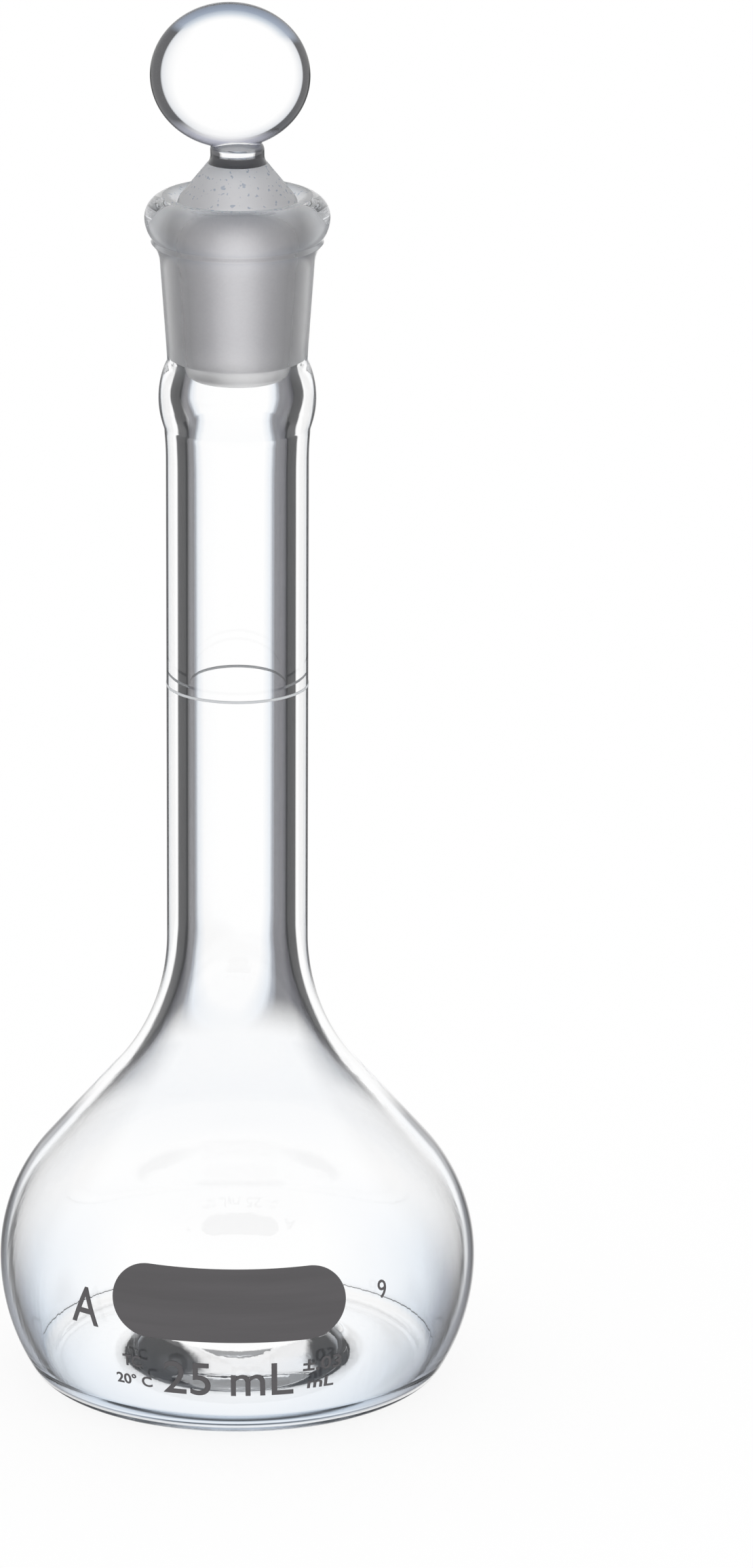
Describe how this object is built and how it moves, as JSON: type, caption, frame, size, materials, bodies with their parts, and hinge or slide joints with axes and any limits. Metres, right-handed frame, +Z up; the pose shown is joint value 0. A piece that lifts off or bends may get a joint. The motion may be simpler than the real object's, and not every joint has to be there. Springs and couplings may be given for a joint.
{
  "type": "volumetric flask",
  "caption": "Clear glass volumetric flask: round flat-based bulb, long neck with a graduation ring, ground socket and a lift-out ground glass stopper with a flat round thumb piece.",
  "frame": {"origin": "middle of the base ring, on the surface that the flask stands on", "axes": "+Z up along the axis of the bulb, neck and stopper; -Y is the front, where the marks face; +X is to the right seen from the front"},
  "size_m": [0.0408, 0.0409, 0.1198],
  "materials": {
    "blown_glass": "clear fire-polished borosilicate glass",
    "joint_glass": "clear glass outside, fine ground bore inside",
    "stopper_glass": "clear pressed glass, fine ground plug",
    "etched_stain": "matt etched line with a pale stain",
    "enamel": "satin fired-on dark enamel"
  },
  "bodies": {
    "flask": {"flask_body": "blown_glass", "ground_socket": "joint_glass", "graduation_ring": "etched_stain", "writing_patch": "enamel", "capacity_mark": "enamel", "temperature_mark": "enamel", "tolerance_mark": "enamel", "class_mark": "enamel", "stopper_size_mark": "enamel"},
    "stopper": {"stopper": "stopper_glass"}
  },
  "joints": [
    {"name": "stopper_lift", "type": "slide", "parent": "flask", "child": "stopper", "axis": [0, 0, 1], "range_m": [0, 0.04]}
  ]
}
